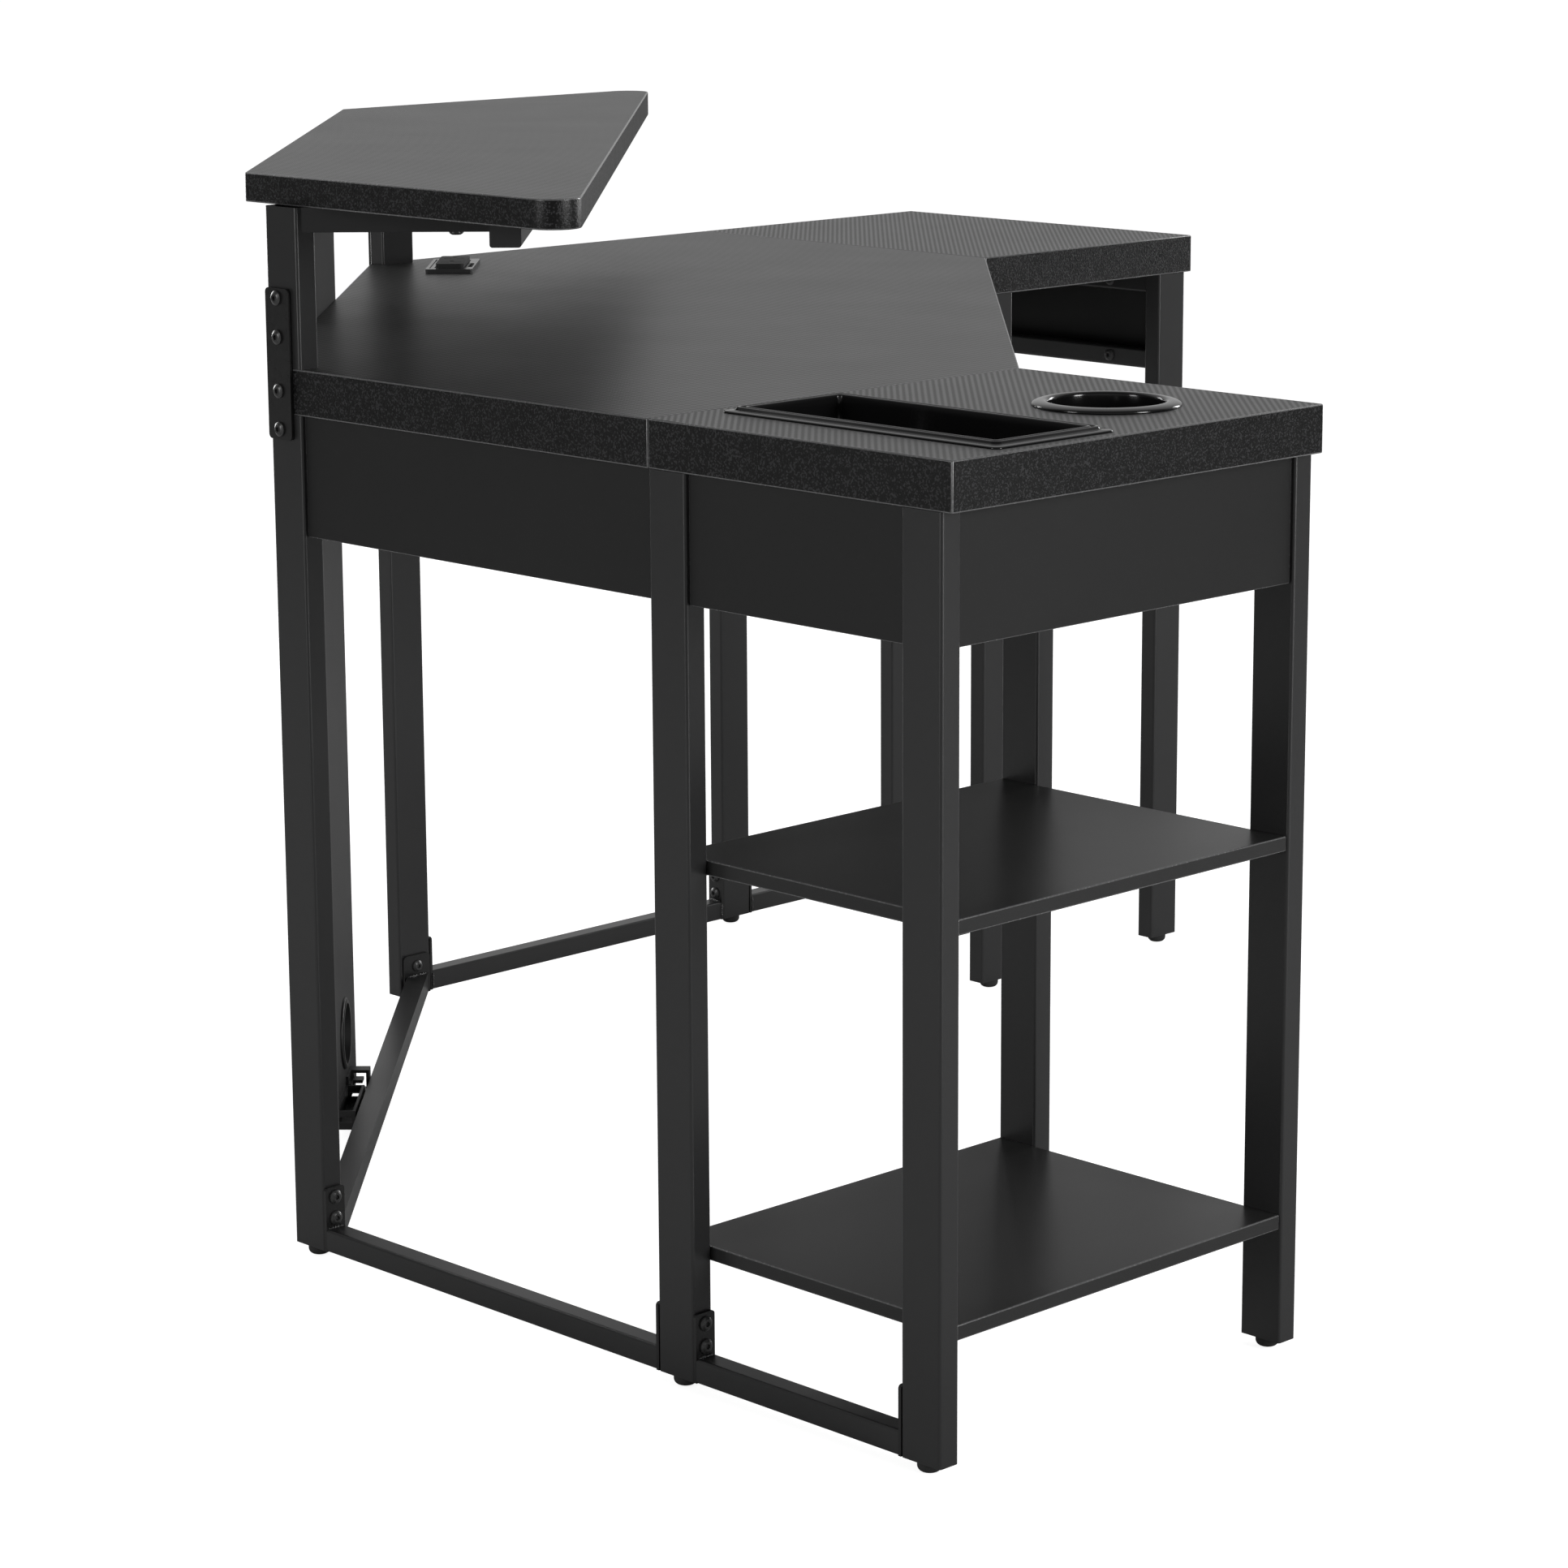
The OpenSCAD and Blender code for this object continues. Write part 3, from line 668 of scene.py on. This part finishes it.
def cut_holes(piece, cutters):
    """Cuts the cutters out of a piece and removes them."""
    for cutter in cutters:
        cut = piece.modifiers.new("cut", "BOOLEAN")
        cut.operation, cut.solver, cut.object = "DIFFERENCE", "EXACT", cutter
        cut.material_mode = "TRANSFER"
    bpy.context.view_layer.update()
    seen = piece.evaluated_get(bpy.context.evaluated_depsgraph_get())
    piece.data = bpy.data.meshes.new_from_object(seen)
    piece.modifiers.clear()
    for cutter in cutters:
        bpy.data.objects.remove(cutter)


def prism_cutter(outline, low, high):
    """A closed prism of raw chipboard finish, used only to cut."""
    mesh = mesh_from(prism(outline, low, high), "cutter", [core()])
    cutter = bpy.data.objects.new("cutter", mesh)
    bpy.context.scene.collection.objects.link(cutter)
    return cutter


def round_rect(half_x, half_y, radius, steps=8):
    """Points of a rounded rectangle about the origin, anticlockwise."""
    points = []
    corners = ((1, 1, 0), (-1, 1, 90), (-1, -1, 180), (1, -1, 270))
    for side_x, side_y, start in corners:
        for i in range(steps + 1):
            angle = math.radians(start + 90 * i / steps)
            points.append((
                side_x * (half_x - radius) + radius * math.cos(angle),
                side_y * (half_y - radius) + radius * math.sin(angle)))
    return points


def placed(outline, middle):
    """An outline about the origin, moved to a middle."""
    return [(middle.x + x, middle.y + y) for x, y in outline]


def grown(outline, by):
    """An outline pushed away from its middle."""
    middle = Vector([sum(p[i] for p in outline) / len(outline) for i in (0, 1)])
    return [tuple(Vector(p) + (Vector(p) - middle).normalized() * by) for p in outline]


def loft(bm, rings):
    """Skins rings of equal length, and caps the first and the last."""
    rows = [[bm.verts.new(p) for p in ring] for ring in rings]
    for lower, upper in zip(rows, rows[1:]):
        for i, corner in enumerate(lower):
            j = (i + 1) % len(lower)
            bm.faces.new((corner, lower[j], upper[j], upper[i])).smooth = True
    bm.faces.new(rows[0][::-1])
    bm.faces.new(rows[-1])


def add_board(node, suffix, arris, face, edge):
    """A board with rounded rims that stands for one CAD node."""
    low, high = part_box(node)
    mesh = board_mesh(node + suffix, plan_outline(node), low.z, high.z, arris, face, edge)
    return add_piece(node + suffix, mesh, "frame", [node])


# ---- operators ----------------------------------------------------------------------


class DESK_OT_desk_boards(bpy.types.Operator):
    """Makes the three film-wrapped desk boards with their cut-outs"""
    bl_idname = "desk.desk_boards"
    bl_label = "Desk boards"

    def cut_outs(self, node):
        """Outlines of the cut-outs in one board."""
        if node == "corner_board":
            return [grown(plan_outline("outlet_housing"), HOUSING_GAP)]
        if node == "far_wing_board":
            return []
        tray_low, tray_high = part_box("pen_tray")
        cup_low, cup_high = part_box("cup_holder")
        half = (tray_high - tray_low) / 2 - Vector((1, 1, 0)) * TRAY_LAP
        radius = (cup_high.x - cup_low.x) / 2 - CUP_LAP
        return [
            placed(round_rect(half.x, half.y, TRAY_CUT_CORNER), (tray_low + tray_high) / 2),
            placed(round_rect(radius, radius, radius, CUP_CUT_STEPS), (cup_low + cup_high) / 2)]

    def execute(self, context):
        arris = context.scene.desk_board.arris
        for node, film in (
                ("corner_board", turned_twill()), ("near_wing_board", straight_twill()),
                ("far_wing_board", straight_twill())):
            piece = add_board(node, "_wrapped", arris, film, edges())
            low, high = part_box(node)
            cutters = [prism_cutter(outline, low.z - CUT_REACH, high.z + CUT_REACH)
                       for outline in self.cut_outs(node)]
            if cutters:
                cut_holes(piece, cutters)
        return {"FINISHED"}


class DESK_OT_monitor_shelf(bpy.types.Operator):
    """Makes the raised shelf with its two rounded front corners"""
    bl_idname = "desk.monitor_shelf"
    bl_label = "Monitor shelf"

    def execute(self, context):
        add_board(
            "monitor_shelf", "_wrapped",
            context.scene.desk_board.arris, turned_twill(), edges())
        return {"FINISHED"}


class DESK_OT_storage_shelves(bpy.types.Operator):
    """Makes the two storage shelves with their edge bands"""
    bl_idname = "desk.storage_shelves"
    bl_label = "Storage shelves"

    def execute(self, context):
        for node in ("middle_storage_shelf", "lower_storage_shelf"):
            add_board(
                node, "_banded",
                context.scene.desk_board.shelf_arris, shelf_face(), shelf_face())
        return {"FINISHED"}


class DESK_OT_aprons(bpy.types.Operator):
    """Makes the apron panels with softened edges"""
    bl_idname = "desk.aprons"
    bl_label = "Aprons"

    def execute(self, context):
        for node in APRONS:
            add_board(node, "_panel", APRON_ARRIS, panel_face(), panel_face())
        return {"FINISHED"}


class DESK_OT_tube_frame(bpy.types.Operator):
    """Coats the tubes, and paints the plates, bolts, screws and plugs"""
    bl_idname = "desk.tube_frame"
    bl_label = "Tube frame"

    def execute(self, context):
        paint_nodes(TUBES, coat())
        paint_nodes(
            ("splice_plates", "stretcher_plates"),
            finish_named("coated_plate", steel, 0.0085, 0.3, 0.0, 6 * MM))
        paint_nodes(
            ("frame_bolts",),
            finish_named("black_oxide", steel, 0.055, 0.3, 0.5, 2 * MM))
        paint_nodes(
            ("wood_screws",),
            finish_named("zinc_plate", steel, 0.4, 0.32, 1.0, 2 * MM))
        paint_nodes(("leg_end_plugs",), moulding())
        return {"FINISHED"}


class DESK_OT_weld_beads(bpy.types.Operator):
    """Lays the weld beads between the stretchers and their end plates"""
    bl_idname = "desk.weld_beads"
    bl_label = "Weld beads"

    def spot(self, axis, along, across, up):
        """A point along one floor axis, across on the other, and up."""
        return Vector((along, across, up) if axis == 0 else (across, along, up))

    def lay(self, bm, start, end, radius, ripples):
        """One rippled bead from start to end."""
        run = end - start
        side = run.orthogonal().normalized()
        up = run.normalized().cross(side)
        steps, sides = ripples * 5, 10
        rings = []
        for i in range(steps + 1):
            t = i / steps
            taper = min(1.0, 6 * t + 0.25, 6 * (1 - t) + 0.25)
            swell = radius * taper * (0.86 + 0.22 * abs(math.sin(math.pi * ripples * t)))
            wander = side * radius * 0.15 * math.sin(5 * t * ripples)
            centre = start + run * t + wander
            rings.append([
                centre + swell * (side * math.cos(a) + up * math.sin(a))
                for a in (math.tau * k / sides for k in range(sides))])
        loft(bm, rings)

    def execute(self, context):
        tube = context.scene.desk_frame
        radius, ripples = tube.bead_radius, tube.bead_lumps
        bm = bmesh.new()
        for node, axis in STRETCHERS:
            low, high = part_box(node)
            inner, outer = low[1 - axis], high[1 - axis]
            for end in (low[axis], high[axis]):
                self.lay(
                    bm, self.spot(axis, end, inner + BEAD_INSET, high.z),
                    self.spot(axis, end, outer - BEAD_INSET, high.z), radius, ripples)
                self.lay(
                    bm, self.spot(axis, end, outer, low.z + BEAD_INSET),
                    self.spot(axis, end, outer, high.z - BEAD_INSET), radius * 0.8, ripples)
        low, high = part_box("corner_tie_stretcher")
        across = (high.z - low.z) * math.sqrt(2)
        for axis in (0, 1):
            outer = high[1 - axis]
            self.lay(
                bm, self.spot(axis, low[axis], outer - across + BEAD_INSET, high.z),
                self.spot(axis, low[axis], outer - BEAD_INSET, high.z), radius, ripples)
        mesh = mesh_from(bm, "weld_beads", [coat()])
        add_piece("weld_beads", mesh, "frame")
        return {"FINISHED"}


class DESK_OT_pen_tray(bpy.types.Operator):
    """Makes the glossy pen tray with its double-ridged rim"""
    bl_idname = "desk.pen_tray"
    bl_label = "Pen tray"

    def execute(self, context):
        low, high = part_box("pen_tray")
        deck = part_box("near_wing_board")[1].z
        middle = (low + high) / 2
        lip = 15
        floor = (low.z - deck) / MM
        # Distance out from the opening, and height over the board, in millimetres
        profile = (
            (-9, floor + 2.5), (-4.5, floor + 2.6), (-1.8, floor + 3.6), (-0.5, floor + 6.5),
            (-0.1, -6), (0, 2.6), (0.25, 3.7), (0.9, 4.3), (1.7, 4.5), (2.5, 4.2), (3.0, 3.5),
            (3.3, 3.0), (4.9, 3.0), (5.2, 3.5), (5.7, 4.2), (6.5, 4.5), (7.3, 4.2), (7.9, 3.4),
            (8.4, 2.3), (9.4, 1.75), (13.8, 1.6), (14.6, 1.3), (15, 0.7), (15, 0.05), (14.2, 0),
            (2.6, 0), (2.5, -1), (2.4, floor + 6), (2.0, floor + 2.2), (0.6, floor + 0.5),
            (-2.5, floor))
        rings = []
        for out, height in profile:
            half_x = (high.x - low.x) / 2 + (out - lip) * MM
            half_y = (high.y - low.y) / 2 + (out - lip) * MM
            radius = max(1.5, 3.2 + min(out, 9) * 0.35) * MM
            rings.append([
                (middle.x + x, middle.y + y, deck + height * MM)
                for x, y in round_rect(half_x, half_y, radius)])
        bm = bmesh.new()
        loft(bm, rings)
        mesh = mesh_from(bm, "pen_tray_moulding", [gloss()])
        add_piece("pen_tray_moulding", mesh, "pen_tray_body", ["pen_tray"])
        return {"FINISHED"}


class DESK_OT_cup_holder(bpy.types.Operator):
    """Makes the glossy cup holder with its flared rim"""
    bl_idname = "desk.cup_holder"
    bl_label = "Cup holder"

    def execute(self, context):
        low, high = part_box("cup_holder")
        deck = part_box("near_wing_board")[1].z
        turns = context.scene.desk_insert.turns
        middle = (low + high) / 2
        outer = (high.x - low.x) / 2 / MM
        lip = 12.5
        roll = 3.2
        inner = outer - lip
        floor = (low.z - deck) / MM
        # Radius and height over the board, in millimetres
        profile = [(6, floor + 2), (inner - 7, floor + 2), (inner - 2.2, floor + 2.9),
                   (inner - 0.6, floor + 5.5), (inner - 0.1, -8), (inner, 1.2)]
        profile += [(inner + roll - roll * math.cos(a), 1.2 + 2.8 * math.sin(a))
                    for a in (math.radians(d) for d in range(15, 91, 15))]
        profile += [(inner + roll + (outer - inner - roll) * math.sin(a),
                     0.9 + 3.1 * math.cos(a))
                    for a in (math.radians(d) for d in range(12, 91, 13))]
        profile += [(outer, 0.1), (outer - 0.6, 0), (inner + 2.2, 0), (inner + 2, -1),
                    (inner + 1.8, floor + 5), (inner, floor + 1), (inner - 3, floor), (6, floor)]
        rings = [[(middle.x + radius * MM * math.cos(a), middle.y + radius * MM * math.sin(a),
                   deck + height * MM) for a in (math.tau * k / turns for k in range(turns))]
                 for radius, height in profile]
        bm = bmesh.new()
        loft(bm, rings)
        mesh = mesh_from(bm, "cup_holder_moulding", [gloss()])
        add_piece("cup_holder_moulding", mesh, "cup_holder_body", ["cup_holder"])
        return {"FINISHED"}


class DESK_OT_power_outlet(bpy.types.Operator):
    """Finishes the desktop outlet"""
    bl_idname = "desk.power_outlet"
    bl_label = "Power outlet"

    def execute(self, context):
        paint_nodes(
            ("outlet_bezel",),
            finish_named("outlet_plate_plastic", plain_plastic, 0.03, 0.2, 0.6 * MM))
        paint_nodes(
            ("outlet_sockets", "outlet_usb", "outlet_housing"),
            finish_named("dull_black_plastic", plain_plastic, 0.006, 0.62, 0.5 * MM))
        return {"FINISHED"}


class DESK_OT_cable_panel(bpy.types.Operator):
    """Finishes the cable panel and its fittings"""
    bl_idname = "desk.cable_panel"
    bl_label = "Cable panel"

    def execute(self, context):
        paint_nodes(("cable_panel",), panel_face())
        paint_nodes(("cable_grommet", "cord_loop", "cord_cradle"), moulding())
        return {"FINISHED"}


class DESK_OT_levelling_feet(bpy.types.Operator):
    """Finishes the levelling feet"""
    bl_idname = "desk.levelling_feet"
    bl_label = "Levelling feet"

    def execute(self, context):
        paint_nodes(FEET, finish_named("foot_plastic", plain_plastic, 0.009, 0.34, 0.4 * MM))
        return {"FINISHED"}


class DESK_OT_studio(bpy.types.Operator):
    """Builds the pale floor, the soft lights and the camera"""
    bl_idname = "desk.studio"
    bl_label = "Studio"

    def floor(self):
        """The wide floor, which only the stage holds."""
        bm = bmesh.new()
        bmesh.ops.create_grid(bm, x_segments=1, y_segments=1, size=FLOOR_HALF)
        mesh = mesh_from(bm, "studio_floor", [self.floor_paint()])
        floor = bpy.data.objects.new("studio_floor", mesh)
        floor.location.z = -FLOOR_DROP
        bpy.context.scene.collection.objects.link(floor)

    def floor_paint(self):
        """White to the eye, and a mid grey bounce onto the desk."""
        material, place, shader = new_material("pale_floor")
        seen = place.node("ShaderNodeLightPath")
        finish_material(
            shader,
            {"Base Color": (*[FLOOR_BOUNCE] * 3, 1), "Roughness": 0.9, "Specular IOR Level": 0.1,
             "Emission Strength": 1.0},
            {"Emission Color": seen.mix((0, 0, 0), [FLOOR_GLOW] * 3)})
        return material

    def sky(self, tree, studio):
        """White screens behind and in front of the desk, with dim room at its sides."""
        facing = Wire(tree, tree.nodes.new("ShaderNodeTexCoord").outputs["Generated"])
        behind = (-math.sin(studio.heading), math.cos(studio.heading), 0.25)
        toward = facing.node(
            "ShaderNodeVectorMath", {"operation": "DOT_PRODUCT"}, {0: facing, 1: behind}, 1)
        screen = (toward * 0.5 + 0.5).ramp((0.1, 0.4), (0.35, 0.0), (0.6, 0.0), (0.87, 1.0))
        seen = facing.node("ShaderNodeLightPath")
        light = screen.mix([studio.room] * 3, [studio.backdrop] * 3)
        background = tree.nodes["Background"]
        tree.links.new(seen.mix(light, (1, 1, 1)).socket, background.inputs["Color"])
        background.inputs["Strength"].default_value = 1.0

    def softbox(self, name, position, power):
        """One soft light that faces the desk."""
        light = bpy.data.lights.new(name, "AREA")
        light.shape, light.energy = "RECTANGLE", power
        light.size, light.size_y = SOFTBOX_WIDTH, SOFTBOX_HEIGHT
        box = bpy.data.objects.new(name, light)
        box.location = position
        facing = Vector(SOFTBOX_AIM) - Vector(position)
        box.rotation_euler = facing.to_track_quat("-Z", "Y").to_euler()
        bpy.context.scene.collection.objects.link(box)

    def camera(self, context, studio):
        """The camera, from its heading, tilt and roll."""
        camera = bpy.data.cameras.new("studio_camera")
        camera.lens, camera.sensor_width = studio.lens, 36
        camera.clip_end = 200
        stand = bpy.data.objects.new("studio_camera", camera)
        context.scene.collection.objects.link(stand)
        ahead = Vector((
            -math.sin(studio.heading) * math.cos(studio.tilt),
            math.cos(studio.heading) * math.cos(studio.tilt),
            -math.sin(studio.tilt)))
        level = Vector((math.cos(studio.heading), math.sin(studio.heading), 0))
        upright = level.cross(ahead)
        right = level * math.cos(studio.roll) + upright * math.sin(studio.roll)
        up = upright * math.cos(studio.roll) - level * math.sin(studio.roll)
        turn = Matrix((right, up, -ahead)).transposed()
        stand.matrix_world = Matrix.Translation(Vector(studio.seat)) @ turn.to_4x4()
        context.scene.camera = stand

    def execute(self, context):
        studio = context.scene.desk_studio
        self.floor()
        world = context.scene.world or bpy.data.worlds.new("studio_sky")
        context.scene.world = world
        world.use_nodes = True
        self.sky(world.node_tree, studio)
        for name, position, share in SOFTBOXES:
            self.softbox(name, position, studio.box_power * share)
        self.camera(context, studio)
        context.scene.view_settings.view_transform = "Standard"
        return {"FINISHED"}


OPERATORS = (
    DESK_OT_studio, DESK_OT_desk_boards, DESK_OT_monitor_shelf, DESK_OT_storage_shelves,
    DESK_OT_aprons, DESK_OT_tube_frame, DESK_OT_weld_beads, DESK_OT_pen_tray,
    DESK_OT_cup_holder, DESK_OT_power_outlet, DESK_OT_cable_panel, DESK_OT_levelling_feet,
)


class DESK_PT_maker(bpy.types.Panel):
    """Lists the steps that build the desk"""
    bl_idname = "DESK_PT_maker"
    bl_label = "Corner Desk"
    bl_space_type = "VIEW_3D"
    bl_region_type = "UI"
    bl_category = "Corner Desk"

    def draw(self, context):
        for name, group in SETTINGS.items():
            box = self.layout.box()
            for prop in group.__annotations__:
                box.prop(getattr(context.scene, name), prop)
        for step in OPERATORS:
            self.layout.operator(step.bl_idname)


def register():
    for name, group in SETTINGS.items():
        bpy.utils.register_class(group)
        setattr(bpy.types.Scene, name, PointerProperty(type=group))
    for item in OPERATORS + (DESK_PT_maker,):
        bpy.utils.register_class(item)


def unregister():
    for item in (DESK_PT_maker,) + OPERATORS[::-1]:
        bpy.utils.unregister_class(item)
    for name, group in SETTINGS.items():
        delattr(bpy.types.Scene, name)
        bpy.utils.unregister_class(group)


def main():
    register()
    for old in [o for o in bpy.context.scene.objects if o.name in ("Cube", "Light", "Camera")]:
        bpy.data.objects.remove(old)
    for step in OPERATORS:
        group, call = step.bl_idname.split(".")
        getattr(getattr(bpy.ops, group), call)()


if __name__ == "__main__":
    main()
